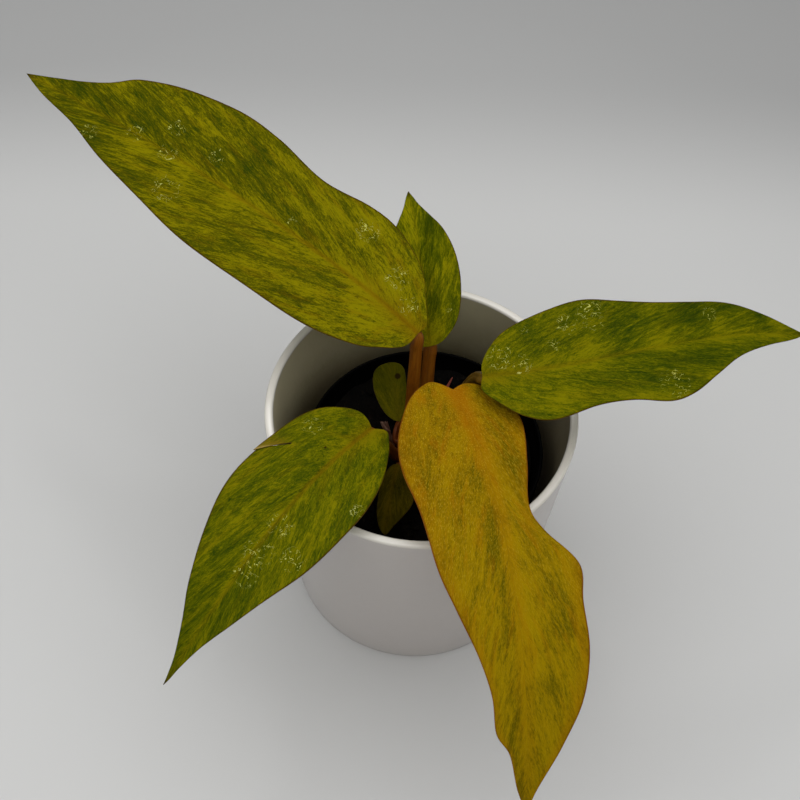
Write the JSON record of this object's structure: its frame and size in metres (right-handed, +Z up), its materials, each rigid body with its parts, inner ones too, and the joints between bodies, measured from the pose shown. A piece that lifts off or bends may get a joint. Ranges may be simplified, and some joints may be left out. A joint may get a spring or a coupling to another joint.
{
  "type": "potted philodendron",
  "caption": "Young philodendron with mottled green and amber leaves, in a black nursery pot inside a plain white tapered cover pot.",
  "frame": {"origin": "centre of the cover pot's flat base", "axes": "+Z up along the cover pot's axis, -Y to the side the newest, amber leaf hangs over, -X to the side of the largest leaf"},
  "size_m": [0.3383, 0.2934, 0.1851],
  "materials": {
    "white_ceramic": "satin",
    "black_plastic": "satin",
    "potting_soil": "matte",
    "root_skin": "matte",
    "stem_bark": "matte",
    "stalk_skin": "satin",
    "green_leaf": "gloss",
    "amber_leaf": "satin",
    "dark_leaf": "satin",
    "dry_sheath": "matte",
    "red_spike": "satin"
  },
  "bodies": {
    "root": {"cover_pot": "white_ceramic", "nursery_pot": "black_plastic", "potting_soil": "potting_soil", "roots": "root_skin", "main_stem": "stem_bark", "leaf_blade_1": "green_leaf", "leaf_stalk_1": "stalk_skin", "leaf_blade_2": "green_leaf", "leaf_stalk_2": "stalk_skin", "leaf_blade_3": "green_leaf", "leaf_stalk_3": "stalk_skin", "leaf_blade_4": "amber_leaf", "leaf_stalk_4": "stalk_skin", "leaf_blade_5": "green_leaf", "leaf_stalk_5": "stalk_skin", "leaf_blade_6": "dark_leaf", "leaf_stalk_6": "stalk_skin", "leaf_blade_7": "dark_leaf", "leaf_stalk_7": "stalk_skin", "dry_sheath": "dry_sheath", "new_leaf_spike": "red_spike"}
  },
  "joints": []
}
